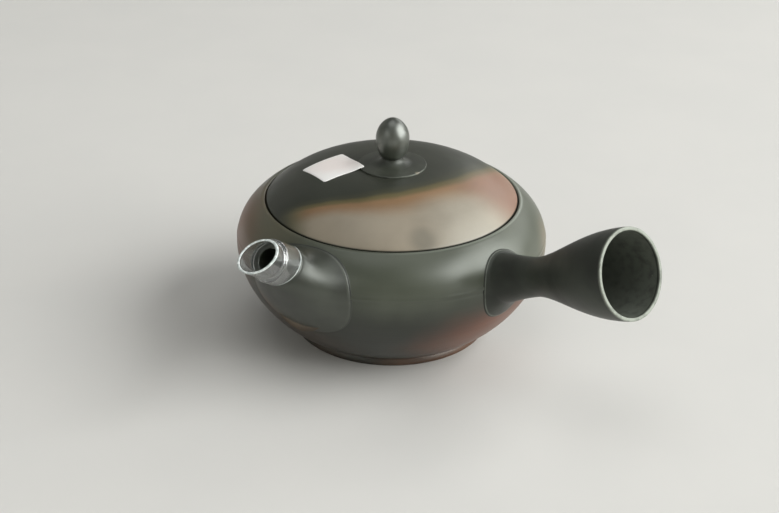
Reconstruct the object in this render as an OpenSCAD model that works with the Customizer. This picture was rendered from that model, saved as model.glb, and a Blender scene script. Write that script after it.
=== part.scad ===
// Side-handled teapot with a clay strainer, a loose lid and a clear sleeve on its spout.
// Millimetres, Z up. The origin is the middle of the foot, on the table.
// The handle points to the front right and the spout to the front left.

/* [Bowl] */
// widest radius of the bowl
belly_radius = 56; // [52:0.5:64]
// height of the widest ring above the table
belly_height = 33.8; // [31:0.2:38]
// rise of the shoulder from the widest ring to the land round the lid
shoulder_rise = 16; // [13:0.2:20]
// fullness of the shoulder curve: 2 is an ellipse, more is squarer
shoulder_fullness = 2.25; // [2:0.05:2.6]
// drop of the lower curve below the widest ring, taken as far as the axis
lower_drop = 39.7; // [37:0.2:44]
// fullness of the lower curve, sideways
lower_fullness = 2.25; // [2:0.05:2.6]
// fullness of the lower curve, downwards
lower_tightness = 1.8; // [1.6:0.05:2.2]
// bowl wall
wall = 3; // [2:0.25:4]
// thickness of the bowl's floor
floor_thickness = 3.5; // [2.5:0.25:5]

/* [Foot] */
// outer radius of the foot ring
foot_radius = 35.6; // [32:0.2:37]
// width of the foot ring
foot_width = 5; // [3:0.25:7]
// height of the foot ring
foot_height = 2.6; // [1.5:0.1:4]
// worn edge of the foot ring
foot_bevel = 0.5; // [0.2:0.1:1]

/* [Mouth] */
// width of the flat land round the lid
land_width = 1.4; // [1:0.1:3]
// depth of the seat below the land
seat_depth = 1.8; // [1:0.1:2.5]
// width of the ledge that the lid rests on
ledge_width = 3; // [2:0.1:4]
// height of the mouth's inner wall below the ledge
neck_height = 3.6; // [2.5:0.1:5]
// thickness of the mouth's ring where it meets the shoulder
neck_root = 2.6; // [1.5:0.1:3.5]

/* [Lid] */
// radius of the lid
lid_radius = 45.1; // [42:0.1:46]
// free gap between the lid's edge and its seat
lid_gap = 0.4; // [0.3:0.05:0.8]
// thickness of the lid at its edge
lid_edge = 2.2; // [1.6:0.1:3]
// rise of the dome above the lid's edge
dome_rise = 12; // [8:0.2:15]
// fullness of the dome: 2 is an even bow, more is flatter on top
dome_fullness = 3.6; // [2.2:0.1:5]
// thickness of the lid at its middle
lid_thickness = 4.4; // [3:0.2:6]
// free gap between the flange and the mouth
flange_gap = 0.5; // [0.3:0.05:1]
// thickness of the flange
flange_wall = 3; // [2:0.1:4]
// length of the flange below the ledge
flange_drop = 6.4; // [4:0.2:9]

/* [Knob] */
// radius of the knob's seat
knob_seat_radius = 12.2; // [9:0.1:14]
// height of the seat's edge
knob_seat_edge = 0.8; // [0.5:0.1:1.5]
// rise of the seat's flare above its edge
knob_seat_rise = 1.5; // [1:0.1:3]
// radius of the knob's neck
knob_neck_radius = 3.9; // [3:0.1:5]
// widest radius of the knob
knob_radius = 5.95; // [5:0.05:8]
// height of the knob from its foot to its widest ring
knob_lower = 8.2; // [6:0.1:11]
// height of the knob from its widest ring to its crown
knob_upper = 7.7; // [5:0.1:10]

/* [Spout] */
// compass direction of the spout, from the X axis
spout_turn = 234; // [200:1:250]
// rise of the spout's tip
tip_slope = 34; // [28:1:38]
// lean of the spout's shoulder, back from square to its tip
shoulder_lean = 17.5; // [10:0.5:22]
// distance of the spout's shoulder from the land round the lid
spout_reach = 15.1; // [14:0.1:20]
// height of the spout's shoulder
spout_level = 47; // [46:0.2:49]
// half width of the spout at its shoulder
spout_radius = 7.4; // [7:0.1:8]
// half width of the spout where it enters the bowl
spout_root_width = 27; // [22:0.25:28]
// pace at which the spout widens towards its root: 1 is even, more is later
spout_widening = 0.9; // [0.8:0.05:1.4]
// height of the spout's upper line where it ends inside the bowl
spout_root_top = 43.5; // [42:0.25:45]
// height of the spout's lower line where it ends inside the bowl
spout_root_bottom = 13.5; // [12:0.25:16]
// distance of the spout's root end from the pot's axis
spout_root_reach = 41.5; // [38:0.25:43]
// distance of the bend in the spout's upper line from the land round the lid
upper_bend = 4.6; // [2:0.1:7]
// distance by which the spout's lower line bends down below its shoulder
lower_bend = 19; // [17:0.1:21]
// wall of the spout
spout_wall = 2.6; // [1.8:0.1:3]
// outer radius of the spout's tip
tip_radius = 6.4; // [5.8:0.1:6.6]
// radius of the channel in the spout's tip
tip_bore = 4.2; // [3:0.1:4.6]
// length of the spout's tip from its shoulder
tip_length = 7.4; // [6:0.2:9]
// worn edge of the spout's tip
tip_bevel = 0.5; // [0.2:0.1:0.8]

/* [Spout cover] */
// free gap between the cover and the spout's tip
cover_gap = 0.25; // [0.15:0.05:0.4]
// thickness of the cover's wall
cover_wall = 0.8; // [0.5:0.05:1.2]
// outer radius of the cover's nose
nose_radius = 6.6; // [5.8:0.1:7]
// distance of the nose's slanted end from the spout's shoulder, on the axis
nose_reach = 14.4; // [14:0.2:17]
// slant of the nose's end
nose_slant = 30; // [0:1:36]

/* [Handle] */
// compass direction of the handle, from the X axis
handle_turn = -45; // [-70:1:-20]
// rise of the handle
handle_slope = 22; // [15:1:28]
// height at which the handle's axis meets the pot's axis
handle_level = 15.3; // [12:0.2:20]
// distance of the handle's open end from the pot's axis, along the handle
handle_length = 115.6; // [100:0.2:130]
// distance of the handle's neck from the pot's axis, along the handle
handle_neck_at = 76; // [72:0.5:82]
// radius of the handle's neck
handle_neck_radius = 6.7; // [6:0.1:9]
// radius of the handle's open end
handle_rim_radius = 15.05; // [12:0.05:18]
// radius of the handle where it meets the bowl
handle_root_radius = 9.6; // [8.5:0.1:12]
// wall of the handle at its neck
handle_wall = 2.4; // [1.8:0.1:3]
// wall of the handle at its open end
handle_rim_wall = 1.5; // [1:0.1:2]

/* [Joins] */
// film of slip between pieces that are joined by clay
slip = 0.06; // [0.04:0.01:0.12]
// thickness of the clay collars round the joins
collar_thickness = 1.4; // [0.8:0.1:2]
// height of bare shoulder kept between the collars and the land round the lid
collar_margin = 0.4; // [0.2:0.1:2]
// width of the collar round the spout
spout_collar_width = 3; // [2:0.1:4]
// width of the collar round the handle
handle_collar_width = 0.9; // [0.6:0.1:4]
// distance by which the handle's collar runs on below the handle
handle_collar_drop = 3.6; // [2:0.1:6]

/* [Strainer] */
// height of the middle of the strainer on the bowl's wall
strainer_level = 31; // [29:0.5:33]
// radius of the hole in the bowl behind the strainer
strainer_hole_radius = 8.5; // [7:0.25:9]
// radius of the ball that the strainer is cut from
strainer_ball = 17; // [15:0.5:19]
// depth of the strainer's dome inside the bowl
strainer_depth = 5; // [4:0.25:6]
// thickness of the strainer
strainer_wall = 1.8; // [1.2:0.1:2.2]
// radius of each hole in the strainer
sieve_radius = 0.9; // [0.5:0.05:1.1]
// distance between neighbouring holes in the strainer
sieve_pitch = 2.8; // [2.6:0.1:3]
// rings of holes round the middle one
sieve_rings = 3; // [2:1:3]

/* [Label] */
// side of the square label
label_side = 16.5; // [10:0.5:18]
// rounding of the label's corners
label_corner = 2.2; // [1:0.1:3]
// distance of the label's middle from the pot's axis
label_reach = 22; // [20:0.5:24]
// compass direction of the label, from the X axis
label_turn = 183; // [0:1:359]
// turn of the label in its own plane
label_tilt = 31.5; // [0:0.5:90]
// thickness of the paper
label_thickness = 0.16; // [0.1:0.02:0.3]

/* [Hidden] */
$fn = 64;

clay = [0.25, 0.25, 0.22];
inner_clay = [0.34, 0.30, 0.25];
flashed_clay = [0.47, 0.40, 0.33];
clear_plastic = [0.92, 0.95, 0.95, 0.4];
paper = [0.93, 0.88, 0.84];

// straight pieces that each curve is drawn with
bowl_steps = 16;
curve_steps = 10;
corner_steps = 5;
loft_steps = 6;
loft_sides = 28;
// length by which a cut runs past what it cuts
spare = 5;

// the mouth, from the lid outwards and downwards
seat_radius = lid_radius + lid_gap;
land_radius = seat_radius + land_width;
neck_radius = seat_radius - ledge_width;
land_angle = acos(pow(land_radius / belly_radius, shoulder_fullness / 2));
land_level = belly_height + shoulder_rise;
// rise of the same curve taken as far as the axis
full_rise = shoulder_rise / pow(sin(land_angle), 2 / shoulder_fullness);
ledge_level = land_level - seat_depth;
neck_level = ledge_level - neck_height;
neck_root_level = ledge_level - neck_root;
floor_level = foot_height + floor_thickness;

// the lid, from its ledge upwards
lid_edge_level = ledge_level + lid_edge;
function dome(r) = lid_edge_level + dome_rise * (1 - pow(min(r, lid_radius) / lid_radius, dome_fullness));
knob_land = knob_seat_radius + 0.3;
lid_top = dome(knob_land);
flange_radius = neck_radius - flange_gap;
hollow_radius = flange_radius - flange_wall;
hollow_rise = lid_top - lid_thickness - ledge_level;

// angle at which a bowl curve is at a given height or radius
function shoulder_angle_at(level, rise) = asin(pow((level - belly_height) / rise, shoulder_fullness / 2));
function lower_angle_at(level, drop) = asin(pow((belly_height - level) / drop, lower_tightness / 2));

// bowl curves, swollen by a given amount, between two angles
function shoulder(swell, from, to) = [for (i = [0:bowl_steps])
    let (a = from + (to - from) * i / bowl_steps)
    [(belly_radius + swell) * pow(cos(a), 2 / shoulder_fullness),
        belly_height + (full_rise + swell) * pow(sin(a), 2 / shoulder_fullness)]];
function lower(swell, from, to) = [for (i = [0:bowl_steps])
    let (a = from + (to - from) * i / bowl_steps)
    [(belly_radius + swell) * pow(cos(a), 2 / lower_fullness),
        belly_height - (lower_drop + swell) * pow(sin(a), 2 / lower_tightness)]];
// all but the first point of a list
function rest(points) = [for (i = [1:len(points) - 1]) points[i]];

// handle outline: a flared end, a neck and a root that swells towards the bowl
function flare(s) = (1 - cos(180 * pow((s - handle_neck_at) / (handle_length - handle_neck_at), 0.8))) / 2;
handle_start = belly_radius - 2 * spare;
function root_swell(s) = pow((handle_neck_at - s) / (handle_neck_at - belly_radius), 1.6);
function handle_outer(s) = s > handle_neck_at
    ? handle_neck_radius + (handle_rim_radius - handle_neck_radius) * flare(s)
    : handle_neck_radius + (handle_root_radius - handle_neck_radius) * root_swell(s);
function handle_skin(s) = s > handle_neck_at
    ? handle_wall + (handle_rim_wall - handle_wall) * (s - handle_neck_at) / (handle_length - handle_neck_at)
    : handle_wall;
function handle_at(i) = i < curve_steps
    ? handle_start + (handle_neck_at - handle_start) * i / curve_steps
    : handle_neck_at + (handle_length - handle_neck_at) * (i - curve_steps) / curve_steps;

// spout outline in its upright plane: an upper and a lower line from the shoulder into the bowl
shoulder_slope = tip_slope + shoulder_lean;
shoulder_up = spout_radius / cos(shoulder_lean) * [-sin(shoulder_slope), cos(shoulder_slope)];
tip_reach = land_radius + spout_reach;
shoulder_middle = [tip_reach, spout_level];
root_lean = (spout_root_top - spout_root_bottom) * 0.12;
function bow(a, b, c, t) = (1 - t) * (1 - t) * a + 2 * t * (1 - t) * b + t * t * c;
function upper_line(t) = bow(
    shoulder_middle + shoulder_up,
    [land_radius + upper_bend, spout_level],
    [spout_root_reach - root_lean, spout_root_top], t);
function lower_line(t) = bow(
    shoulder_middle - shoulder_up,
    shoulder_middle - [0, lower_bend],
    [spout_root_reach + root_lean, spout_root_bottom], t);
function half_width(t) = spout_radius + (spout_root_width - spout_radius) * pow(t, spout_widening);

// depth of the tip's root behind the middle of the spout's leaning shoulder
tip_root = spout_wall + tip_radius * tan(shoulder_lean);

// the strainer's ball, whose dome stands out from the bowl's inner wall
ball_reach = belly_radius - wall - strainer_depth + strainer_ball;

// solid bowl without its hollow, swollen by a given amount
module bowl_form(swell) {
    rotate_extrude($fn = 128)
        polygon(concat(
            [[0, foot_height]],
            lower(swell, lower_angle_at(foot_height, lower_drop + swell), 0),
            rest(shoulder(swell, 0, land_angle)),
            [[0, land_level + swell]]));
}

// space that nothing joined to the bowl may enter: the bowl and the air over its mouth
module bowl_space(swell) {
    bowl_form(swell);
    cylinder(r = land_radius + swell, h = land_level + dome_rise);
}

module on_tip_axis() {
    rotate([0, 0, spout_turn])
        translate([tip_reach, 0, spout_level])
            rotate([0, 90 - tip_slope, 0])
                children();
}

module on_handle_axis() {
    rotate([0, 0, handle_turn])
        translate([0, 0, handle_level])
            rotate([0, 90 - handle_slope, 0])
                children();
}

// solid of the spout behind its shoulder, made thicker or thinner by a given amount:
// oval rings between the upper and the lower line, and a straight root inside the bowl
module spout_form(swell) {
    points = [for (i = [0:loft_steps + 1], j = [0:loft_sides - 1])
        let (t = min(i / loft_steps, 1))
        let (root = i > loft_steps ? [2 * spare, 0] : [0, 0])
        let (middle = (upper_line(t) + lower_line(t)) / 2 - root)
        let (up = (upper_line(t) - lower_line(t)) / 2)
        let (a = 360 * j / loft_sides)
        let (reach = cos(a) * (1 + swell / norm(up)))
        [middle[0] + up[0] * reach, sin(a) * (half_width(t) + swell), middle[1] + up[1] * reach]];
    last = (loft_steps + 1) * loft_sides;
    sides = [for (i = [0:loft_steps], j = [0:loft_sides - 1], k = [0, 1])
        let (a = i * loft_sides + j)
        let (b = i * loft_sides + (j + 1) % loft_sides)
        k == 0 ? [a, b + loft_sides, b] : [a, a + loft_sides, b + loft_sides]];
    ends = [for (j = [1:loft_sides - 2], k = [0, 1])
        k == 0 ? [0, j, j + 1] : [last, last + j + 1, last + j]];
    rotate([0, 0, spout_turn])
        polyhedron(points, concat(sides, ends));
}

// skin over the bowl that the clay collars are cut from; it stops short of the land round the lid
module bowl_skin() {
    top = shoulder_angle_at(land_level - collar_margin, full_rise);
    rotate_extrude($fn = 128)
        polygon(concat(
            lower(slip + collar_thickness, lower_angle_at(foot_height, lower_drop), 0),
            rest(shoulder(slip + collar_thickness, 0, top)),
            shoulder(slip, top, 0),
            rest(lower(slip, 0, lower_angle_at(foot_height, lower_drop)))));
}

module body_shell() {
    color(clay)
        difference() {
            rotate_extrude($fn = 128)
                polygon(concat(
                    [[0, foot_height]],
                    lower(0, lower_angle_at(foot_height, lower_drop), 0),
                    rest(shoulder(0, 0, land_angle)),
                    [[seat_radius, land_level], [seat_radius, ledge_level],
                        [neck_radius, ledge_level], [neck_radius, neck_level]],
                    shoulder(-wall, shoulder_angle_at(neck_root_level, full_rise - wall), 0),
                    rest(lower(-wall, 0, lower_angle_at(floor_level, lower_drop - wall))),
                    [[0, floor_level]]));
            rotate([0, 0, spout_turn])
                translate([belly_radius - 2 * wall - spare, 0, strainer_level])
                    rotate([0, 90, 0])
                        cylinder(r = strainer_hole_radius, h = 2 * wall + 2 * spare);
        }
}

module foot_ring() {
    color(clay)
        rotate_extrude($fn = 128)
            polygon([[foot_radius - foot_width, foot_bevel], [foot_radius - foot_width + foot_bevel, 0],
                [foot_radius - foot_bevel, 0], [foot_radius, foot_bevel],
                [foot_radius, foot_height], [foot_radius - foot_width, foot_height]]);
}

module spout() {
    color(clay)
        difference() {
            union() {
                spout_form(0);
                on_tip_axis()
                    rotate_extrude()
                        polygon([[0, -tip_root], [tip_radius, -tip_root],
                            [tip_radius, tip_length - tip_bevel],
                            [tip_radius - tip_bevel, tip_length], [0, tip_length]]);
            }
            spout_form(-spout_wall);
            on_tip_axis()
                translate([0, 0, -spare])
                    cylinder(r = tip_bore, h = tip_length + 2 * spare);
            bowl_space(slip);
        }
}

module spout_seam() {
    color(clay)
        difference() {
            intersection() {
                bowl_skin();
                spout_form(spout_collar_width);
            }
            spout_form(slip);
        }
}

module handle() {
    color(clay)
        difference() {
            on_handle_axis()
                rotate_extrude()
                    polygon(concat(
                        [for (i = [0:2 * curve_steps]) [handle_outer(handle_at(i)), handle_at(i)]],
                        [for (i = [2 * curve_steps:-1:0])
                            [handle_outer(handle_at(i)) - handle_skin(handle_at(i)), handle_at(i)]]));
            bowl_form(slip);
        }
}

// solid root of the handle, made thicker by a given amount
module handle_root(swell) {
    on_handle_axis()
        rotate_extrude()
            polygon(concat(
                [[0, handle_start]],
                [for (i = [0:curve_steps]) [handle_outer(handle_at(i)) + swell, handle_at(i)]],
                [[0, handle_neck_at]]));
}

module handle_seam() {
    color(clay)
        difference() {
            intersection() {
                bowl_skin();
                union() {
                    handle_root(handle_collar_width);
                    translate([0, 0, -handle_collar_drop])
                        handle_root(handle_collar_width);
                }
            }
            handle_root(slip);
        }
}

module strainer() {
    color(inner_clay)
        difference() {
            intersection() {
                rotate_extrude($fn = 128)
                    polygon(concat(
                        [[0, floor_level]],
                        lower(-wall - slip, lower_angle_at(floor_level, lower_drop - wall - slip), 0),
                        rest(shoulder(-wall - slip, 0,
                            shoulder_angle_at(neck_level, full_rise - wall - slip))),
                        [[0, neck_level]]));
                rotate([0, 0, spout_turn])
                    translate([ball_reach, 0, strainer_level])
                        rotate([90, 0, 0])
                            sphere(r = strainer_ball, $fn = 160);
            }
            rotate([0, 0, spout_turn])
                translate([ball_reach, 0, strainer_level])
                    rotate([90, 0, 0])
                        sphere(r = strainer_ball - strainer_wall, $fn = 160);
            rotate([0, 0, spout_turn])
                translate([ball_reach - strainer_ball - spare, 0, strainer_level])
                    rotate([0, 90, 0])
                        for (a = [-sieve_rings:sieve_rings], b = [-sieve_rings:sieve_rings])
                            if (abs(a + b) <= sieve_rings)
                                translate([sieve_pitch * (a + b / 2), sieve_pitch * b * sqrt(3) / 2, 0])
                                    cylinder(r = sieve_radius, h = strainer_ball, $fn = 32);
        }
}

module lid_plate() {
    color(flashed_clay)
        rotate_extrude($fn = 128)
            polygon(concat(
                [[lid_radius, ledge_level]],
                [for (i = [0:curve_steps])
                    let (r = lid_radius + (knob_land - lid_radius) * pow(i / curve_steps, 1.5))
                    [r, dome(r)]],
                [[0, lid_top]],
                [for (i = [0:curve_steps])
                    let (r = hollow_radius * (1 - pow(1 - i / curve_steps, 1.5)))
                    [r, ledge_level + hollow_rise * (1 - pow(r / hollow_radius, dome_fullness))]]));
}

module lid_flange() {
    color(inner_clay)
        rotate_extrude($fn = 128)
            polygon([[hollow_radius, ledge_level - flange_drop], [flange_radius, ledge_level - flange_drop],
                [flange_radius, ledge_level], [hollow_radius, ledge_level]]);
}

// level of the knob's foot, on top of its seat
knob_level = lid_top + knob_seat_edge + knob_seat_rise;
knob_foot_lip = 0.4;
knob_foot_radius = knob_neck_radius + knob_foot_lip;

module knob_seat() {
    color(flashed_clay)
        rotate_extrude()
            polygon(concat(
                [[0, lid_top], [knob_seat_radius, lid_top]],
                [for (i = [0:corner_steps])
                    let (a = 90 * i / corner_steps)
                    [knob_foot_radius + (knob_seat_radius - knob_foot_radius) * (1 - sin(a)),
                        lid_top + knob_seat_edge + knob_seat_rise * (1 - cos(a))]],
                [[0, knob_level]]));
}

module knob() {
    color(flashed_clay)
        rotate_extrude()
            polygon(concat(
                [[0, knob_level], [knob_foot_radius, knob_level]],
                [for (i = [0:curve_steps])
                    let (a = 90 - 90 * i / curve_steps)
                    [knob_neck_radius + (knob_radius - knob_neck_radius) * cos(a),
                        knob_level + knob_lower - (knob_lower - knob_foot_lip) * sin(a)]],
                [for (i = [1:curve_steps])
                    let (a = 90 * i / curve_steps)
                    [knob_radius * cos(a), knob_level + knob_lower + knob_upper * sin(a)]]));
}

module spout_cover() {
    sleeve_radius = tip_radius + cover_gap;
    stop = tip_length + cover_gap;
    nose_end = nose_reach + 2 * spare;
    // side of a block that is larger than the cover
    block = 8 * sleeve_radius;
    color(clear_plastic)
        difference() {
            on_tip_axis()
                rotate_extrude()
                    polygon([[sleeve_radius, -spare], [sleeve_radius + cover_wall, -spare],
                        [sleeve_radius + cover_wall, stop], [nose_radius, stop + cover_wall],
                        [nose_radius, nose_end], [nose_radius - cover_wall, nose_end],
                        [nose_radius - cover_wall, stop], [sleeve_radius, stop]]);
            on_tip_axis() {
                translate([0, 0, nose_reach])
                    rotate([0, -nose_slant, 0])
                        translate([-block / 2, -block / 2, 0])
                            cube(block);
                translate([0, 0, cover_gap])
                    rotate([0, -shoulder_lean, 0])
                        translate([-block / 2, -block / 2, -block])
                            cube(block);
            }
        }
}

module label() {
    half = label_side / 2 - label_corner;
    color(paper)
        difference() {
            intersection() {
                rotate_extrude($fn = 128)
                    polygon(concat(
                        [for (i = [0:curve_steps])
                            let (r = lid_radius + (knob_land - lid_radius) * pow(i / curve_steps, 1.5))
                            [r, dome(r) + slip]],
                        [for (i = [curve_steps:-1:0])
                            let (r = lid_radius + (knob_land - lid_radius) * pow(i / curve_steps, 1.5))
                            [r, dome(r) + slip + label_thickness]]));
                rotate([0, 0, label_turn])
                    translate([label_reach, 0, lid_edge_level])
                        rotate([0, 0, label_tilt - label_turn])
                            linear_extrude(height = dome_rise + spare)
                                polygon([for (c = [0:3], i = [0:corner_steps])
                                    let (a = 90 * c + 90 * i / corner_steps)
                                    [(c == 0 || c == 3 ? half : -half) + label_corner * cos(a),
                                        (c < 2 ? half : -half) + label_corner * sin(a)]]);
            }
            cylinder(r = knob_land + slip, h = lid_top + spare);
        }
}

body_shell();
foot_ring();
spout();
spout_seam();
handle();
handle_seam();
strainer();
lid_plate();
lid_flange();
knob();
knob_seat();
spout_cover();
label();
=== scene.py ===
from functools import partial
from math import acos, cos, pi, radians, sin, sqrt, tau

import bmesh
import bpy
import numpy as np
from mathutils import Matrix, Vector


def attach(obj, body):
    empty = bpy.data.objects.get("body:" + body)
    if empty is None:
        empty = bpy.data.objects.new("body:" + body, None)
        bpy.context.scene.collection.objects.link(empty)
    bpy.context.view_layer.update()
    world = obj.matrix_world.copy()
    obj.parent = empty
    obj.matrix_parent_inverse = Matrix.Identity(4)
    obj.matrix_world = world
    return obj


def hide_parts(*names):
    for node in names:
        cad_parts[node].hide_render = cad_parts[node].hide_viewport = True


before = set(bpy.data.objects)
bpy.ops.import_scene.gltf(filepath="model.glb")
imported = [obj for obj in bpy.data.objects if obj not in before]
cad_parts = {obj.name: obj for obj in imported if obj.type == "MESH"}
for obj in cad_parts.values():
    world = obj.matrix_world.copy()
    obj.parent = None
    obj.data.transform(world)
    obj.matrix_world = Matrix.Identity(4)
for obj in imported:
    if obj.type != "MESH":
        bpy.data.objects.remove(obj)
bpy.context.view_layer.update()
scene = bpy.context.scene
mm = 0.001


# node helpers: nodes go into the tree that was started last, and their sockets are wired or set by name,
# or by number as in0, in1 ...
startedTrees = []


def feed(node, **wires):
    for name, value in wires.items():
        numbered = name.startswith("in") and name[2:].isdigit()
        socket = node.inputs[int(name[2:])] if numbered else node.inputs[name.replace("_", " ")]
        if isinstance(value, bpy.types.NodeSocket):
            node.id_data.links.new(value, socket)
        else:
            socket.default_value = value
    return node


def put(kind, settings=None, **wires):
    node = startedTrees[-1].nodes.new(kind)
    for name, value in (settings or {}).items():
        setattr(node, name, value)
    return feed(node, **wires)


def calc(operation, first, second=0.0):
    return put("ShaderNodeMath", {"operation": operation}, in0=first, in1=second).outputs[0]


plus, minus, times, over = (partial(calc, sign) for sign in ("ADD", "SUBTRACT", "MULTIPLY", "DIVIDE"))


def vectorCalc(operation, first, second=(0, 0, 0)):
    node = put("ShaderNodeVectorMath", {"operation": operation}, in0=first, in1=second)
    return node.outputs["Value" if operation in ("LENGTH", "DOT_PRODUCT") else "Vector"]


def split(vector):
    return put("ShaderNodeSeparateXYZ", Vector=vector).outputs


def join(x=0.0, y=0.0, z=0.0):
    return put("ShaderNodeCombineXYZ", X=x, Y=y, Z=z).outputs[0]


def aroundAxis(place):  # the place seen from above, and how far it is from the upright axis
    flat = vectorCalc("MULTIPLY", place, (1, 1, 0))
    return flat, vectorCalc("LENGTH", flat)


def towards(flat, degrees):  # how far a place lies out to one side
    return vectorCalc("DOT_PRODUCT", flat, (cos(radians(degrees)), sin(radians(degrees)), 0))


def ease(value, low, high, lowest=0.0, highest=1.0):
    return put("ShaderNodeMapRange", {"interpolation_type": "SMOOTHSTEP"}, Value=value,
               From_Min=low, From_Max=high, To_Min=lowest, To_Max=highest).outputs[0]


def blend(amount, under, top):
    return put("ShaderNodeMix", {"data_type": "RGBA"}, in0=amount, in6=under, in7=top).outputs[2]


def noise(vector, scale, detail=3.0, roughness=0.5):
    return put("ShaderNodeTexNoise", Vector=vector, Scale=scale, Detail=detail,
               Roughness=roughness).outputs[0]


def bumped(height, distance, strength=1.0):
    return put("ShaderNodeBump", Strength=strength, Distance=distance, Height=height).outputs[0]


def useGroup(group, **wires):
    return put("ShaderNodeGroup", {"node_tree": group}, **wires).outputs


def newTree(name, kind, outputs, **inputs):  # an input is given by its value, or by its kind of socket
    tree = bpy.data.node_groups.new(name, kind)
    startedTrees.append(tree)
    kinds = {float: "Float", int: "Int", tuple: "Vector"}
    for socketName, value in inputs.items():
        plainName = socketName.replace("_", " ")
        socketType = "NodeSocket" + kinds.get(type(value), value)
        socket = tree.interface.new_socket(plainName, in_out="INPUT", socket_type=socketType)
        if type(value) in kinds:
            socket.default_value = value
    for socketName in outputs:
        socketType = "NodeSocketGeometry" if kind == "GeometryNodeTree" else "NodeSocketFloat"
        tree.interface.new_socket(socketName, in_out="OUTPUT", socket_type=socketType)
    return tree, tree.nodes.new("NodeGroupInput").outputs, tree.nodes.new("NodeGroupOutput")


def paint(red, green, blue):  # a screen colour, 0 to 255, as the linear colour that a shader takes
    parts = [value / 255 for value in (red, green, blue)]
    return tuple(p / 12.92 if p <= 0.04045 else ((p + 0.055) / 1.055) ** 2.4 for p in parts) + (1.0,)


# camera first: found by fitting the bowl, lid and handle outlines
view = {
    "place": (0.0, -0.52421, 0.28971), "pitch": 26.75, "yaw": -0.065, "roll": 0.72, "lens": 74.03,
    "sensor": 36.0, "near": 0.01, "far": 20.0,
}


def setCamera():
    data = bpy.data.cameras.new("camera")
    data.sensor_fit = "HORIZONTAL"
    data.sensor_width = view["sensor"]
    data.lens = view["lens"]
    data.clip_start = view["near"]
    data.clip_end = view["far"]
    pitch, yaw, roll = (radians(view[key]) for key in ("pitch", "yaw", "roll"))
    ahead = Vector((sin(yaw) * cos(pitch), cos(yaw) * cos(pitch), -sin(pitch)))
    level = ahead.cross(Vector((0, 0, 1))).normalized()
    upright = level.cross(ahead)
    right = level * cos(roll) + upright * sin(roll)
    up = upright * cos(roll) - level * sin(roll)
    facing = Matrix((right, up, -ahead)).transposed().to_4x4()
    camera = bpy.data.objects.new("camera", data)
    camera.matrix_world = Matrix.Translation(view["place"]) @ facing
    scene.collection.objects.link(camera)
    scene.camera = camera


setCamera()
print("camera set")

# shader groups; every vector in them is in millimetres
skinMix = {
    "ringLean": 0.8, "ringWander": 0.7, "broadStretch": (1.6, 1.6, 0.16), "grainScale": 4.5,
    "cloudScale": 0.06, "ringTone": 0.35, "grainTone": 0.5, "cloudTone": 0.5, "grainHeight": 0.4,
    "cloudPolish": 0.6, "broadPolish": 0.4,
}


def makeTurnedSkin():  # fine rings left by turning, and the grain of bare clay
    tree, given, result = newTree("turnedSkin", "ShaderNodeTree", ("Tone", "Height", "Polish"),
                                  Vector="Vector", Ring_Pitch=1.1, Ring_Depth=0.5, Grain=0.3)
    place, depth, mix = given["Vector"], given["Ring Depth"], skinMix
    flat, radius = aroundAxis(place)
    sides = split(vectorCalc("NORMALIZE", flat))
    along = plus(split(place)[2], times(radius, mix["ringLean"]))
    ringPlace = join(times(sides[0], mix["ringWander"]), times(sides[1], mix["ringWander"]),
                     over(along, given["Ring Pitch"]))
    rings = noise(ringPlace, 1.0, 4.0, 0.6)
    broad = noise(vectorCalc("MULTIPLY", ringPlace, mix["broadStretch"]), 1.0, 2.0)
    grain = noise(place, mix["grainScale"], 4.0, 0.65)
    cloud = noise(place, mix["cloudScale"])
    ringTone = times(minus(rings, 0.5), depth)
    grainTone = times(minus(grain, 0.5), given["Grain"])
    tone = plus(times(ringTone, mix["ringTone"]), times(grainTone, mix["grainTone"]))
    tone = plus(tone, times(minus(cloud, 0.5), mix["cloudTone"]))
    height = plus(ringTone, times(minus(broad, 0.5), depth))
    height = plus(height, times(grainTone, mix["grainHeight"]))
    polish = plus(times(cloud, mix["cloudPolish"]), times(broad, mix["broadPolish"]))
    feed(result, Tone=plus(tone, 1.0), Height=height, Polish=polish)
    return tree


def makeRaggedPatch():  # a soft, ragged patch of colour round a point
    tree, given, result = newTree("raggedPatch", "ShaderNodeTree", ("Mask",), Vector="Vector",
                                  Centre=(0, 0, 0), Reach=(20, 20, 20), Softness=0.6, Ragged=0.4)
    away = vectorCalc("SUBTRACT", given["Vector"], given["Centre"])
    distance = vectorCalc("LENGTH", vectorCalc("DIVIDE", away, given["Reach"]))
    drift = minus(noise(given["Vector"], 0.09, 4.0, 0.55), 0.5)
    distance = plus(distance, times(drift, given["Ragged"]))
    low = minus(1.0, given["Softness"])
    high = plus(1.0, given["Softness"])
    feed(result, Mask=ease(distance, low, high, 1.0, 0.0))
    return tree


def makeSpecks():  # sparse pale grit that shows on a burnished face
    tree, given, result = newTree("gritSpecks", "ShaderNodeTree", ("Mask",), Vector="Vector", Spacing=3.0,
                                  Size=0.16, Share=0.2)
    scale = over(1.0, given["Spacing"])
    cells = put("ShaderNodeTexVoronoi", Vector=given["Vector"], Scale=scale).outputs
    kept = calc("LESS_THAN", split(cells["Color"])[0], given["Share"])
    edge = over(given["Size"], given["Spacing"])
    spot = ease(cells["Distance"], times(edge, 0.5), edge, 1.0, 0.0)
    feed(result, Mask=times(kept, spot))
    return tree


turnedSkin, raggedPatch, gritSpecks = makeTurnedSkin(), makeRaggedPatch(), makeSpecks()
print("shader groups made")
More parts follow.
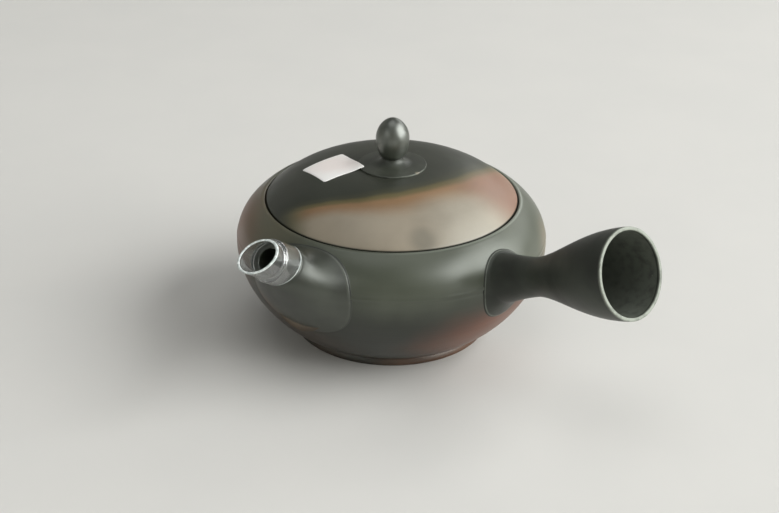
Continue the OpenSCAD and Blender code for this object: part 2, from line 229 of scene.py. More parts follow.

# clay colours, and the finishes that fire and hands left on it
# score is the near-black of the painted shade round the seams
clay = {
    "ashLitAbove": paint(70, 74, 62), "sootAndShade": paint(29, 30, 24), "rust": paint(100, 60, 36),
    "ember": paint(106, 52, 22), "tan": paint(122, 106, 76), "pale": paint(158, 164, 152),
    "score": paint(18, 18, 15), "inner": paint(52, 48, 41), "sheenTint": (0.95, 1.0, 0.93, 1.0),
    "bumpDepth": 0.00006,
}
finishes = {  # roughness from smooth to dull, specular level, IOR
    "satin": ((0.36, 0.48), 0.7, 1.5),
    "rubbedSheen": ((0.29, 0.4), 0.8, 1.5),  # the bowl, smoothed by hand
    "burnished": ((0.31, 0.4), 1.0, 1.5),  # the spout, rubbed brighter
    "polished": ((0.3, 0.38), 1.0, 1.75),  # the knob, brightest of all
    "smoky": ((0.38, 0.5), 0.4, 1.5),  # the handle kept a duller skin of smoke
}
grit = {"Spacing": 4.0, "Size": 0.2, "Share": 0.05}
gritStrength = 0.35


def newMaterial(name):
    material = bpy.data.materials.new(name)
    material.use_nodes = True
    startedTrees.append(material.node_tree)
    shader = next(node for node in material.node_tree.nodes if node.type == "BSDF_PRINCIPLED")
    place = put("ShaderNodeTexCoord").outputs["Object"]
    inMillimetres = put("ShaderNodeMapping", Vector=place, Scale=(1000, 1000, 1000)).outputs[0]
    return material, shader, inMillimetres


def rotated(place, axis, angle):
    return put("ShaderNodeVectorRotate", {"rotation_type": axis}, Vector=place, Angle=angle).outputs[0]


def turnedTo(place, piece):  # the same place, seen along a tilted piece's own axis
    spun = rotated(place, "Z_AXIS", radians(-piece["turn"]))
    return rotated(spun, "Y_AXIS", radians(piece["slope"] - 90))


def cloudOn(place, centre, reach, softness=0.6, ragged=0.4):
    return useGroup(raggedPatch, Vector=place, Centre=centre, Reach=reach, Softness=softness, Ragged=ragged)[0]


def stain(colour, mask, strength, tint):
    return blend(times(mask, strength), colour, tint)


def finishClay(shader, place, colour, finish="satin", skinPlace=None, pitch=1.1, depth=0.5, grain=0.3):
    (smooth, dull), sheen, bend = finishes[finish]
    skin = useGroup(turnedSkin, Vector=skinPlace or place, Ring_Pitch=pitch, Ring_Depth=depth, Grain=grain)
    toned = put("ShaderNodeVectorMath", {"operation": "SCALE"}, in0=colour, Scale=skin["Tone"]).outputs[0]
    specks = useGroup(gritSpecks, Vector=place, **grit)[0]
    shader.inputs["IOR"].default_value = bend
    feed(shader, Base_Color=stain(toned, specks, gritStrength, clay["pale"]),
         Roughness=ease(skin["Polish"], 0.3, 0.7, smooth, dull), Specular_IOR_Level=sheen,
         Specular_Tint=clay["sheenTint"], Normal=bumped(skin["Height"], clay["bumpDepth"]))


def makePlainClay(name, dark, light, rustAt=(), along=None, finish="satin", grain=0.3, pitch=1.1):
    material, shader, place = newMaterial(name)
    colour = blend(ease(noise(place, 0.05), 0.35, 0.65), dark, light)
    for centre, reach, strength in rustAt:
        colour = stain(colour, cloudOn(place, centre, reach), strength, clay["rust"])
    # the marks that a piece's rings carry: a painted highlight along lips and rims, and painted shade in the
    # line round a seam
    edge, groove = (put("ShaderNodeAttribute", {"attribute_name": mark}).outputs["Fac"]
                    for mark in ("paleHighlight", "grooveShade"))
    patchy = ease(noise(place, 0.4, 4.0), 0.25, 0.6, 0.55, 1.0)
    colour = stain(colour, edge, patchy, clay["pale"])
    colour = blend(groove, colour, clay["score"])
    skinPlace = turnedTo(place, along) if along else None
    finishClay(shader, place, colour, finish, skinPlace, pitch, grain=grain)
    return material


# geometry node trees
def endTree(tree, shape, given, result):
    shape = put("GeometryNodeRealizeInstances", Geometry=shape).outputs[0]
    shape = put("GeometryNodeSetMaterial", Geometry=shape, Material=given["Finish"]).outputs[0]
    feed(result, Geometry=shape)
    return tree


def makeWheelTree():  # turns a profile, drawn in the XZ plane, round the Z axis
    tree, given, result = newTree("wheelTurned", "GeometryNodeTree", ("Geometry",), Profile="Geometry",
                                  Segments=128, Throwing_Depth=0.0, Throwing_Pitch=0.004, Seed=1,
                                  Finish="Material")
    count = put("GeometryNodeAttributeDomainSize", Geometry=given["Profile"]).outputs["Point Count"]
    columns = plus(given["Segments"], 1.0)
    grid = put("GeometryNodeMeshGrid", Vertices_X=count, Vertices_Y=columns).outputs["Mesh"]
    index = put("GeometryNodeInputIndex").outputs[0]
    row = calc("FLOOR", over(plus(index, 0.25), columns))
    column = minus(index, times(row, columns))
    position = put("GeometryNodeInputPosition").outputs[0]
    drawn = put("GeometryNodeSampleIndex", {"data_type": "FLOAT_VECTOR", "domain": "POINT"},
                Geometry=given["Profile"], Value=position, Index=row).outputs[0]
    out, _, up = split(drawn)
    ringPlace = join(z=over(plus(up, out), given["Throwing Pitch"]))
    ripple = put("ShaderNodeTexNoise", {"noise_dimensions": "4D"}, Vector=ringPlace, W=given["Seed"],
                 Scale=1.0, Detail=2.0).outputs[0]
    ripple = times(minus(ripple, 0.5), given["Throwing Depth"])
    offAxis = calc("GREATER_THAN", out, 0.0005)
    radius = plus(out, times(ripple, offAxis))
    angle = times(over(column, given["Segments"]), tau)
    turned = join(times(radius, calc("COSINE", angle)), times(radius, calc("SINE", angle)), up)
    shape = put("GeometryNodeSetPosition", Geometry=grid, Position=turned).outputs[0]
    shape = put("GeometryNodeMergeByDistance", Geometry=shape, Distance=0.000002).outputs[0]
    return endTree(tree, shape, given, result)


def makeSieveTree():  # bores a honeycomb of holes through a dome, along its own axis
    tree, given, result = newTree("sieveHoles", "GeometryNodeTree", ("Geometry",), Dome="Geometry", Rings=3,
                                  Hole_Pitch=0.0028, Hole_Radius=0.0009, Depth=0.05, Finish="Material")
    rings, pitch = given["Rings"], given["Hole Pitch"]
    span = times(rings, 2.0)
    across = plus(span, 1.0)
    grid = put("GeometryNodeMeshGrid", Size_X=span, Size_Y=span, Vertices_X=across,
               Vertices_Y=across).outputs["Mesh"]
    x, y, _ = split(put("GeometryNodeInputPosition").outputs[0])
    skewed = join(times(plus(x, times(y, 0.5)), pitch), times(times(y, sqrt(3) / 2), pitch))
    outer = calc("GREATER_THAN", calc("ABSOLUTE", plus(x, y)), plus(rings, 0.5))
    points = put("GeometryNodeDeleteGeometry", {"domain": "POINT"}, Geometry=grid,
                 Selection=outer).outputs[0]
    points = put("GeometryNodeSetPosition", Geometry=points, Position=skewed).outputs[0]
    drill = put("GeometryNodeMeshCylinder", Vertices=18, Radius=given["Hole Radius"],
                Depth=given["Depth"]).outputs["Mesh"]
    drills = put("GeometryNodeInstanceOnPoints", Points=points, Instance=drill).outputs[0]
    drills = put("GeometryNodeRealizeInstances", Geometry=drills).outputs[0]
    cut = put("GeometryNodeMeshBoolean", {"operation": "DIFFERENCE", "solver": "EXACT"},
              in0=given["Dome"], in1=drills).outputs[0]
    return endTree(tree, cut, given, result)


wheelTurned, sieveHoles = makeWheelTree(), makeSieveTree()
print("geometry node trees made")


# mesh helpers; sizes come in as millimetres
def newPiece(name, points, edges=(), faces=()):
    mesh = bpy.data.meshes.new(name)
    places = [tuple(float(value) * mm for value in point) for point in points]
    mesh.from_pydata(places, list(edges), list(faces))
    piece = bpy.data.objects.new(name, mesh)
    scene.collection.objects.link(piece)
    return piece


def cleanMesh(mesh):
    work = bmesh.new()
    work.from_mesh(mesh)
    bmesh.ops.remove_doubles(work, verts=work.verts, dist=0.000001)
    bmesh.ops.recalc_face_normals(work, faces=work.faces)
    for face in work.faces:
        face.smooth = True
    work.to_mesh(mesh)
    work.free()
    mesh.update()


def settle(piece):  # turns what the modifiers make into the piece's plain mesh
    bpy.context.view_layer.update()
    mesh = bpy.data.meshes.new_from_object(piece.evaluated_get(bpy.context.evaluated_depsgraph_get()))
    piece.modifiers.clear()
    piece.data = mesh
    cleanMesh(mesh)
    return piece


def runTree(piece, tree, values):
    modifier = piece.modifiers.new(tree.name, "NODES")
    modifier.node_group = tree
    for item in tree.interface.items_tree:
        if item.item_type == "SOCKET" and item.in_out == "INPUT" and item.name in values:
            modifier[item.identifier] = values[item.name]
    return settle(piece)


def turn(name, profile, finish, segments, depth=0.0, pitch=4.0, seed=1):
    points = [(r, 0, z) for r, z in profile]
    piece = newPiece(name, points, [(i, i + 1) for i in range(len(points) - 1)])
    return runTree(piece, wheelTurned, {
        "Segments": segments, "Throwing Depth": depth * mm, "Throwing Pitch": pitch * mm, "Seed": seed,
        "Finish": finish})


def softened(corners, steps=5):  # rounds the corners that have a third number, their radius
    path = []
    for i, corner in enumerate(corners):
        point = np.array(corner[:2], float)
        if len(corner) < 3 or i in (0, len(corners) - 1):
            path.append(point)
            continue
        before, after = (np.array(corners[k][:2], float) - point for k in (i - 1, i + 1))
        start = point + before * min(corner[2] / np.linalg.norm(before), 0.48)
        end = point + after * min(corner[2] / np.linalg.norm(after), 0.48)
        for t in np.arange(steps + 1) / steps:
            path.append((1 - t) ** 2 * start + 2 * t * (1 - t) * point + t * t * end)
    return path


def ringPiece(name, rings, finish, marks=None, cutFinish=None, cutRings=(), capped=False):
    # a tube through rings of points, its ends capped or joined to each other; marks are painted ring by ring
    count, sides = len(rings), len(rings[0])
    points = [point for ring in rings for point in ring]
    faces = []
    for i in range(count - 1 if capped else count):
        here, there = i * sides, (i + 1) % count * sides
        for j in range(sides):
            k = (j + 1) % sides
            faces.append((here + j, here + k, there + k, there + j))
    if capped:
        faces += [tuple(range(sides)), tuple(range((count - 1) * sides, count * sides))]
    piece = newPiece(name, points, (), faces)
    piece.data.materials.append(finish)
    if cutFinish:
        piece.data.materials.append(cutFinish)
        for face in piece.data.polygons:
            face.material_index = int(face.index // sides in cutRings)
    for mark, shares in (marks or {}).items():
        layer = piece.data.attributes.new(mark, "FLOAT", "POINT")
        values = np.concatenate([np.full(sides, 1.0) * share for share in shares])
        layer.data.foreach_set("value", values.astype(np.float32))
    cleanMesh(piece.data)
    return piece


def keep(piece, body, slot, *nodes):
    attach(piece, body)
    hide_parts(*nodes)
    print("made", piece.name, len(piece.data.polygons), "faces")


# the bowl, turned as one shell with a mouth that seats the lid; sizes in millimetres
bowl = {
    "bellyRadius": 56.0, "bellyHeight": 33.8, "shoulderRise": 16.0, "shoulderFullness": 2.25,
    "lowerDrop": 39.7, "lowerFullness": 2.25, "lowerTightness": 1.8, "wall": 3.0, "underside": 2.6,
    "floor": 6.1, "landRadius": 46.9, "landLift": 0.05, "landRound": 0.5, "beadRise": 0.3, "beadWidth": 0.5,
    "beadDrop": 0.35, "seatRadius": 45.5, "seatDepth": 1.8, "seatEdge": 0.3, "neckRadius": 42.5,
    "neckHeight": 3.6, "neckUpper": 0.4, "neckLower": 0.5, "neckRoot": 2.6, "segments": 224, "ridge": 0.13,
    "ridgeHeight": 36.9, "ridgeWidth": 0.55, "groove": 0.9, "grooveDrop": 1.1, "grooveWidth": 0.6,
    "throwing": {"depth": 0.05, "pitch": 2.4, "seed": 4}, "beadHighlightTurn": -22, "beadHighlight": 0.4,
    "clouds": (  # centre, reach, tint and strength of each patch of fire colour
        ((-60, -4, 40), (12, 30, 24), "ember", 0.85), ((-42, -10, 48), (17, 28, 12), "tan", 0.24),
        ((40, -38, 15), (28, 22, 13), "ember", 0.8), ((-6, 58, 22), (44, 18, 24), "rust", 0.7),
        ((59, -10, 38), (6, 14, 11), "tan", 0.55), ((30, 46, 46), (20, 16, 9), "tan", 0.45),
        ((-40, -34, 12), (26, 22, 10), "rust", 0.18)),
}
landLevel = bowl["bellyHeight"] + bowl["shoulderRise"]
ledgeLevel = landLevel - bowl["seatDepth"]
landAngle = acos((bowl["landRadius"] / bowl["bellyRadius"]) ** (bowl["shoulderFullness"] / 2))
fullRise = bowl["shoulderRise"] / sin(landAngle) ** (2 / bowl["shoulderFullness"])


def skinOfBowl(height):  # the radius of the bowl's outer skin at a height, as bowlRadius has it
    rise = minus(height, bowl["bellyHeight"])
    above = calc("MAXIMUM", over(rise, fullRise), 0.0)
    below = calc("MAXIMUM", over(rise, -bowl["lowerDrop"]), 0.0)
    above = calc("POWER", above, bowl["shoulderFullness"])
    below = calc("POWER", below, bowl["lowerTightness"])
    share = minus(1.0, plus(above, below))
    return times(calc("POWER", share, 1 / bowl["shoulderFullness"]), bowl["bellyRadius"])


def makeBowlClay():
    material, shader, place = newMaterial("bowlClay")
    height = split(place)[2]
    mottle = times(minus(noise(place, 0.035), 0.5), 20.0)
    ashLitAbove = ease(plus(height, mottle), 24.0, 41.0)  # painted shade: the bowl is darker towards the bottom
    colour = blend(ashLitAbove, clay["sootAndShade"], clay["ashLitAbove"])
    for centre, reach, tint, strength in bowl["clouds"]:
        colour = stain(colour, cloudOn(place, centre, reach), strength, clay[tint])
    ragged = plus(height, times(noise(place, 0.12), 8.0))
    colour = blend(ease(ragged, 6.0, 12.0, 0.3, 0.0), colour, clay["rust"])
    # under the outer skin, on the inner wall and the ledge, the smoke left one plain tone
    flat, radius = aroundAxis(place)
    inside = ease(minus(skinOfBowl(height), radius), 1.6, 2.6)
    colour = blend(inside, colour, clay["inner"])
    # painted highlight: the bead round the mouth is painted pale, most on the right where the light falls
    rim = bowl["landRadius"]
    bead = times(ease(radius, rim - 0.3, rim + 0.25, 1.0, 0.0),
                 ease(height, landLevel - 0.5, landLevel - 0.1))
    rubbedSheen = ease(towards(flat, bowl["beadHighlightTurn"]), 0.1 * rim, 0.95 * rim, 0.0, bowl["beadHighlight"])
    colour = stain(colour, bead, rubbedSheen, clay["pale"])
    finishClay(shader, place, colour, "rubbedSheen")
    return material


def bowlRadius(z, swell=0.0):
    z = np.asarray(z, float)
    above = np.clip((z - bowl["bellyHeight"]) / (fullRise + swell), 0, 1) ** bowl["shoulderFullness"]
    below = np.clip((bowl["bellyHeight"] - z) / (bowl["lowerDrop"] + swell), 0, 1) ** bowl["lowerTightness"]
    power = np.where(z >= bowl["bellyHeight"], 1 / bowl["shoulderFullness"], 1 / bowl["lowerFullness"])
    return (bowl["bellyRadius"] + swell) * np.clip(1 - above - below, 0, 1) ** power


def bowlNormal(points):
    step = 0.02
    z, r = points[..., 2], np.hypot(points[..., 0], points[..., 1])
    lean = (bowlRadius(z + step) - bowlRadius(z - step)) / (2 * step)
    normal = np.stack([points[..., 0] / r, points[..., 1] / r, -lean], -1)
    return normal / np.linalg.norm(normal, axis=-1, keepdims=True)


def clearOfBowl(points):  # how far points are outside the bowl's skin, sideways
    return np.hypot(points[..., 0], points[..., 1]) - bowlRadius(points[..., 2])


def ontoBowl(points, lift=0.0):  # lift is one height, or one for each point
    for _ in range(8):
        normal = bowlNormal(points)
        away = clearOfBowl(points) * np.hypot(normal[..., 0], normal[..., 1])
        points = points - normal * away[..., None]
    return points + bowlNormal(points) * np.reshape(lift, (-1, 1))


def ridged(z):  # the skin with the last ring that the turner's rib left on the belly
    away = z - bowl["ridgeHeight"]
    groove = bowl["groove"] * np.exp(-((away + bowl["grooveDrop"]) / bowl["grooveWidth"]) ** 2)
    return bowlRadius(z) + bowl["ridge"] * (np.exp(-(away / bowl["ridgeWidth"]) ** 2) - groove)


def bowlProfile():
    belly, low = bowl["bellyHeight"], bowl["underside"]
    levels = low + (belly - low) * np.sin(np.linspace(0, pi / 2, 60))
    path = [(0, low)] + [(ridged(z), z) for z in levels]
    rise = np.concatenate([np.linspace(0.3, 5.5, 24), np.linspace(5.8, bowl["shoulderRise"] - 1.3, 46)])
    path += [(ridged(z), z) for z in belly + rise]
    seat, neck, edge = bowl["seatRadius"], bowl["neckRadius"], bowl["seatEdge"]
    crest = landLevel + bowl["beadRise"]
    mouth = [path[-1], (bowl["landRadius"], landLevel + bowl["landLift"], bowl["landRound"]),
             (seat + bowl["beadWidth"], crest, edge), (seat, crest - bowl["beadDrop"], edge),
             (seat, ledgeLevel, edge), (neck, ledgeLevel, bowl["neckUpper"]),
             (neck, ledgeLevel - bowl["neckHeight"], bowl["neckLower"])]
    innerRise, innerRadius = fullRise - bowl["wall"], bowl["bellyRadius"] - bowl["wall"]
    top = (ledgeLevel - bowl["neckRoot"] - belly) / innerRise
    start = np.arcsin(top ** (bowl["shoulderFullness"] / 2))
    power = 2 / bowl["shoulderFullness"]
    inside = [(innerRadius * cos(a) ** power, belly + innerRise * sin(a) ** power)
              for a in np.linspace(start, 0, 30)]
    inside += [(float(bowlRadius(z, -bowl["wall"])), z) for z in np.linspace(belly - 0.5, bowl["floor"], 34)]
    return path[:-1] + softened(mouth + [inside[0]])[:-1] + inside + [(0, bowl["floor"])]


bowlBody = turn("bowlBody", bowlProfile(), makeBowlClay(), bowl["segments"], **bowl["throwing"])

# the foot ring, which tapers up to the bowl
foot = {
    "radius": 35.6, "width": 5.0, "top": 3.1, "edge": 0.7, "innerRound": 0.8, "innerHeight": 1.6,
    "innerLap": 0.6, "edgeIn": 0.1, "sideHeight": 0.9, "sideRound": 0.4, "waist": (0.45, 2.65),
    "topIn": 0.9, "segments": 192,
}


def footProfile():
    out, top = foot["radius"], foot["top"]
    inner = out - foot["width"]
    waistIn, waistHeight = foot["waist"]
    lap = (inner - foot["innerLap"], top)
    return softened([
        lap, (inner, foot["innerHeight"], foot["innerRound"]), (inner, 0, foot["edge"]),
        (out - foot["edgeIn"], 0, foot["edge"]), (out, foot["sideHeight"], foot["sideRound"]),
        (out - waistIn, waistHeight), (out - foot["topIn"], top), lap])


footClay = makePlainClay("footClay", paint(48, 44, 38), paint(76, 60, 48),
                         [((30, -26, 0), (26, 20, 12), 0.5)])
keep(turn("footRing", footProfile(), footClay, foot["segments"]), "pot", "clay", "foot_ring")


# pieces that are luted onto the bowl: a tube that spreads into a thin collar with a crisp lip
def firstInside(trace, low, high):  # how far along a traced line each side first meets the bowl
    steps = np.linspace(low, high, 240)
    hits = np.array([clearOfBowl(trace(np.full(trace.sides, s))) < 0 for s in steps])
    last = hits.argmax(0)
    near, far = steps[last - 1], steps[last]
    for _ in range(30):
        middle = (near + far) / 2
        inside = clearOfBowl(trace(middle)) < 0
        far, near = np.where(inside, middle, far), np.where(inside, near, middle)
    return far


class Trace:  # points of a tube at a place along it, for all its sides at once
    def __init__(self, function, sides):
        self.function, self.sides = function, sides
        self.angles = np.arange(sides) * tau / sides

    def __call__(self, along):
        return self.function(along, self.angles)


def spreadOnBowl(trace, start, meet, collar, luting, plain=1.0, steps=18):
    # rings from the tube's start to its collar, the lip, a line of painted shade round it, an edge hidden in
    # the wall
    middle = trace(meet)
    alongLine = trace(meet + (start - meet) * 0.004) - middle
    roundLine = np.roll(middle, -1, 0) - np.roll(middle, 1, 0)
    outward = np.cross(alongLine, roundLine)
    outward *= np.sign((outward * (middle - middle.mean(0))).sum(1))[:, None]
    normal = bowlNormal(middle)
    spread = outward - normal * (outward * normal).sum(1)[:, None]
    spread /= np.linalg.norm(spread, axis=1)[:, None]
    lipLine = ontoBowl(middle + spread * collar[:, None])
    fine = np.linspace(0, 1, 160)
    path = np.array([trace(start + (meet - start) * k) for k in fine])
    stepLengths = np.linalg.norm(np.diff(path, axis=0), axis=2)
    lengths = np.concatenate([np.zeros((1, trace.sides)), np.cumsum(stepLengths, 0)])
    run = np.minimum(luting["run"] + collar * luting["ease"], lengths[-1] * 0.8)
    leave = np.array([np.interp(lengths[-1, j] - run[j], lengths[:, j], fine) for j in range(trace.sides)])
    rings = [trace(start + (meet - start) * leave * k) for k in np.linspace(0, 1, 40)]
    plain = np.full(trace.sides, 1.0) * plain  # how plainly the seam shows, side by side
    lip = luting["lip"] * plain
    swing = ontoBowl(lipLine, lip) - middle  # the tube opens out by this much where it meets the bowl
    for t in np.linspace(0, 1, steps + 1)[1:]:
        rings.append(trace(start + (meet - start) * (leave + (1 - leave) * t)) + swing * t ** 2)
    pale = luting["pale"] * plain
    marks = {"paleHighlight": [0.0] * (len(rings) - 1) + [pale], "grooveShade": [0.0] * len(rings)}
    score = luting["score"]
    edge = (  # how far out, share of the lip's height, painted highlight, painted shade
        (0.1, 0.92, 1, 0), (0.2, 0.65, 0.6, 0), (0.24, 0.3, 0, 0.7), (0.26, 0.12, 0, 1),
        (0.26 + score * 0.5, 0.1, 0, 1), (0.26 + score, 0.06, 0, 0.5), (0.28 + score, -0.3, 0, 0),
        (0.1, -1.2, 0, 0))
    for aside, lift, worn, paintedShade in edge:
        rings.append(ontoBowl(lipLine + spread * aside, lip * lift))
        marks["paleHighlight"].append(worn * pale)
        marks["grooveShade"].append(paintedShade * luting["groove"] * plain)
    return rings, marks


# the spout: an oval horn that narrows to a stepped tip
spout = {
    "turn": 234, "slope": 34, "lean": 17.5, "reach": 62.0, "level": 47.0, "radius": 7.4, "rootWidth": 27.0,
    "widening": 0.9, "rootTop": 43.5, "rootBottom": 13.5, "rootReach": 41.5, "rootLean": 3.6,
    "upperBend": 51.5, "lowerBend": 19.0, "wall": 2.6, "thickUntil": 0.35, "tipRadius": 6.4, "tipBore": 4.2,
    "tipLength": 7.4, "tipFrom": 2.6, "boreFrom": 2.4, "tipEdge": 0.7, "boreEdge": 0.56, "stepInner": 0.3,
    "stepOuter": 0.35, "collar": 0.8, "collarSwell": 2.6, "swellAt": 45, "swellSpan": 38, "seamAt": 55,
    "seamSpan": 62, "seamFaint": 0.2, "hornStart": 0.02, "sides": 144,
}
# pale is the painted highlight on the lip, groove the painted shade round it
spoutLuting = {"lip": 0.4, "run": 14.0, "ease": 0.0, "score": 0.5, "pale": 0.15, "groove": 0.8}
wallOverlap = 0.5  # how far a hollow's edge lies in the bowl's wall
upward = np.array([0, 0, 1.0])
spoutOut = np.array([cos(radians(spout["turn"])), sin(radians(spout["turn"])), 0])
spoutSide = np.array([-spoutOut[1], spoutOut[0], 0])
tipSlope, tipLean = radians(spout["slope"]), radians(spout["lean"])
tipAxis = spoutOut * cos(tipSlope) + upward * sin(tipSlope)
tipUp = upward * cos(tipSlope) - spoutOut * sin(tipSlope)
tipFoot = spoutOut * spout["reach"] + upward * spout["level"]


def bow(t, a, b, c):
    t = np.asarray(t, float)[..., None]
    return (1 - t) ** 2 * np.array(a) + 2 * t * (1 - t) * np.array(b) + t * t * np.array(c)


def bump(value, middle, span):
    return np.exp(-((value - middle) / span) ** 2)


def spoutSkin(t, angles, swell=0.0):
    middle = np.array([spout["reach"], spout["level"]])
    # the horn's end leans further back than the tip that stands on it
    steep = tipSlope + tipLean
    lift = spout["radius"] / cos(tipLean) * np.array([-sin(steep), cos(steep)])
    topRoot = (spout["rootReach"] - spout["rootLean"], spout["rootTop"])
    lowRoot = (spout["rootReach"] + spout["rootLean"], spout["rootBottom"])
    top = bow(t, middle + lift, (spout["upperBend"], spout["level"]), topRoot)
    low = bow(t, middle - lift, middle - [0, spout["lowerBend"]], lowRoot)
    half = (top - low) / 2
    stretch = 1 + swell / np.linalg.norm(half, axis=-1)
    widening = np.asarray(t) ** spout["widening"]
    width = spout["radius"] + (spout["rootWidth"] - spout["radius"]) * widening + swell
    place = (top + low) / 2 + half * (np.cos(angles) * stretch)[..., None]
    aside = (np.sin(angles) * width)[..., None]
    return spoutOut * place[..., :1] + upward * place[..., 1:] + spoutSide * aside


def spoutHollow(t, angles):
    thicker = spout["radius"] - spout["tipBore"] - spout["wall"]
    share = 1 - np.clip(np.asarray(t) / spout["thickUntil"], 0, 1)
    return spoutSkin(t, angles, -(spout["wall"] + thicker * share ** 2))


def tipRing(along, radius, angles):
    spoke = np.cos(angles)[:, None] * tipUp + np.sin(angles)[:, None] * spoutSide
    return tipFoot + tipAxis * along + radius * spoke


def leaningRing(ahead, radius, angles):  # a ring of the tip that leans with the horn's end
    return tipRing((ahead - radius * np.cos(angles) * np.tan(tipLean))[:, None], radius, angles)


def makeSpout():
    skin, hollow = Trace(spoutSkin, spout["sides"]), Trace(spoutHollow, spout["sides"])
    angles = skin.angles
    meet, hollowMeet = firstInside(skin, 0.0, 1.0), firstInside(hollow, 0.0, 1.0)
    aside = (np.degrees(angles) + 180) % 360 - 180
    collar = spout["collar"] + spout["collarSwell"] * bump(aside, spout["swellAt"], spout["swellSpan"])
    tip, bore, end, horn = spout["tipRadius"], spout["tipBore"], spout["tipLength"], spout["radius"]
    rings = [ontoBowl(hollow(hollowMeet), -wallOverlap)]
    rings += [hollow(hollowMeet * k) for k in np.linspace(1, 0, 18)]
    tipPath = softened([(bore, spout["boreFrom"]), (bore, end, spout["boreEdge"]),
                        (tip, end, spout["tipEdge"]), (tip, spout["tipFrom"])])
    rings += [tipRing(s, r, angles) for r, s in tipPath]
    stepPath = softened([(tip, 0.6), (tip, 0, spout["stepInner"]), (horn, 0, spout["stepOuter"]),
                         (horn, -0.4)])
    rings += [leaningRing(s, r, angles) for r, s in stepPath[1:-1]]
    # the seam fades below
    plain = spout["seamFaint"] + (1 - spout["seamFaint"]) * bump(aside, spout["seamAt"], spout["seamSpan"])
    start = np.full(spout["sides"], spout["hornStart"])
    outer, marks = spreadOnBowl(skin, start, meet, collar, spoutLuting, plain)
    hidden = [0.0] * len(rings)
    return rings + outer, {mark: hidden + shares for mark, shares in marks.items()}


spoutClay = makePlainClay("spoutClay", clay["sootAndShade"], paint(52, 55, 47),
                          [((-46, -38, 20), (8, 10, 12), 0.45)], spout, "burnished", pitch=1.4)
spoutRings, spoutMarks = makeSpout()
keep(ringPiece("spoutHorn", spoutRings, spoutClay, spoutMarks), "pot", "clay", "spout", "spout_seam")

# the handle: a hollow trumpet whose root runs on below it
handle = {
    "turn": -45, "slope": 22, "level": 15.3, "neckAt": 76.0, "neckRadius": 6.7, "rimAt": 115.6,
    "rimRadius": 15.05, "rootAt": 56.0, "rootRadius": 9.6, "flare": 0.8, "swell": 1.6, "wall": 2.4,
    "rimWall": 1.2, "rimEdge": 0.4, "lipLength": 1.2, "rimHighlight": 0.85, "innerLight": 0.4, "collar": 0.55,
    "collarDrop": 3.7, "sides": 144, "search": (90.0, 38.0), "wornDepth": 0.6, "wornFade": 0.4,
}
handleLuting = {"lip": 0.35, "run": 0.7, "ease": 1.15, "score": 0.35, "pale": 0.35, "groove": 0.5}
handleTurn, handleSlope = radians(handle["turn"]), radians(handle["slope"])
handleOut = np.array([cos(handleTurn), sin(handleTurn), 0])
handleAxis = handleOut * cos(handleSlope) + upward * sin(handleSlope)
handleSide = np.array([-sin(handleTurn), cos(handleTurn), 0])
handleUp = np.cross(handleAxis, handleSide)


def pastNeck(s):  # 0 at the neck, 1 at the rim
    return np.clip((np.asarray(s, float) - handle["neckAt"]) / (handle["rimAt"] - handle["neckAt"]), 0, 1)


def handleRadius(s):
    neck = handle["neckRadius"]
    flare = (1 - np.cos(pi * pastNeck(s) ** handle["flare"])) / 2
    beforeNeck = np.clip(handle["neckAt"] - np.asarray(s, float), 0, None)
    swell = (beforeNeck / (handle["neckAt"] - handle["rootAt"])) ** handle["swell"]
    return neck + (handle["rimRadius"] - neck) * flare + (handle["rootRadius"] - neck) * swell


def handleRing(s, radius, angles):
    spoke = np.cos(angles)[:, None] * handleSide + np.sin(angles)[:, None] * handleUp
    along, radius = np.reshape(s, (-1, 1)), np.reshape(radius, (-1, 1))
    return upward * handle["level"] + handleAxis * along + spoke * radius


def handleSkin(s, angles):
    return handleRing(s, handleRadius(s), angles)


def handleHollow(s, angles):
    wall = handle["wall"] + (handle["rimWall"] - handle["wall"]) * pastNeck(s)
    return handleRing(s, handleRadius(s) - wall, angles)


def makeHandle():
    sides, end, edge = handle["sides"], handle["rimAt"], handle["rimEdge"]
    skin, hollow = Trace(handleSkin, sides), Trace(handleHollow, sides)
    meet, hollowMeet = firstInside(skin, *handle["search"]), firstInside(hollow, *handle["search"])
    collar = handle["collar"] + handle["collarDrop"] * ((1 - np.sin(skin.angles)) / 2) ** 3
    rim, lipStart = handle["rimRadius"], end - handle["lipLength"]
    rimInner = rim - handle["rimWall"]
    shares = np.linspace(0, 1, 34)
    rings = [ontoBowl(hollow(hollowMeet), -wallOverlap)]
    rings += [hollow(hollowMeet + (lipStart - hollowMeet) * k) for k in shares]
    # painted light: the inside is painted paler towards the rim, and the rim's end is painted pale as a
    # highlight
    worn = [0.0] + [handle["innerLight"] * k ** 3 for k in shares]
    lipPath = softened([(rimInner - 0.06, end - 1.0), (rimInner, end, edge), (rim, end, edge),
                        (rim - 0.02, end - 1.0)])
    rings += [handleRing(np.full(sides, s), np.full(sides, r), skin.angles) for r, s in lipPath]
    depths = [handle["wornDepth"] - end + s for r, s in lipPath]
    worn += [handle["rimHighlight"] * min(1.0, max(0.0, depth / handle["wornFade"])) for depth in depths]
    outer, marks = spreadOnBowl(skin, np.full(sides, lipStart), meet, collar, handleLuting)
    before = {"paleHighlight": worn, "grooveShade": [0.0] * len(rings)}
    return rings + outer, {mark: before[mark] + marks[mark] for mark in marks}


handleClay = makePlainClay("handleClay", paint(36, 38, 34), paint(54, 57, 51),
                           [((44, -44, 14), (9, 9, 7), 0.6)], handle, "smoky", pitch=1.6)
handleRings, handleMarks = makeHandle()
keep(ringPiece("handleHorn", handleRings, handleClay, handleMarks), "pot", "clay", "handle", "handle_seam")

# a round way through the bowl's wall behind the spout
waterWay = {"level": 31.0, "radius": 8.5, "from": 44.0, "to": 60.0, "segments": 64}


def pointedToSpout(reach, level):  # lays what stands on the Z axis down, so that it points out to the spout
    middle = (spoutOut * reach + upward * level) * mm
    laid = Matrix.Rotation(radians(spout["turn"]), 4, "Z") @ Matrix.Rotation(pi / 2, 4, "Y")
    return Matrix.Translation(middle) @ laid


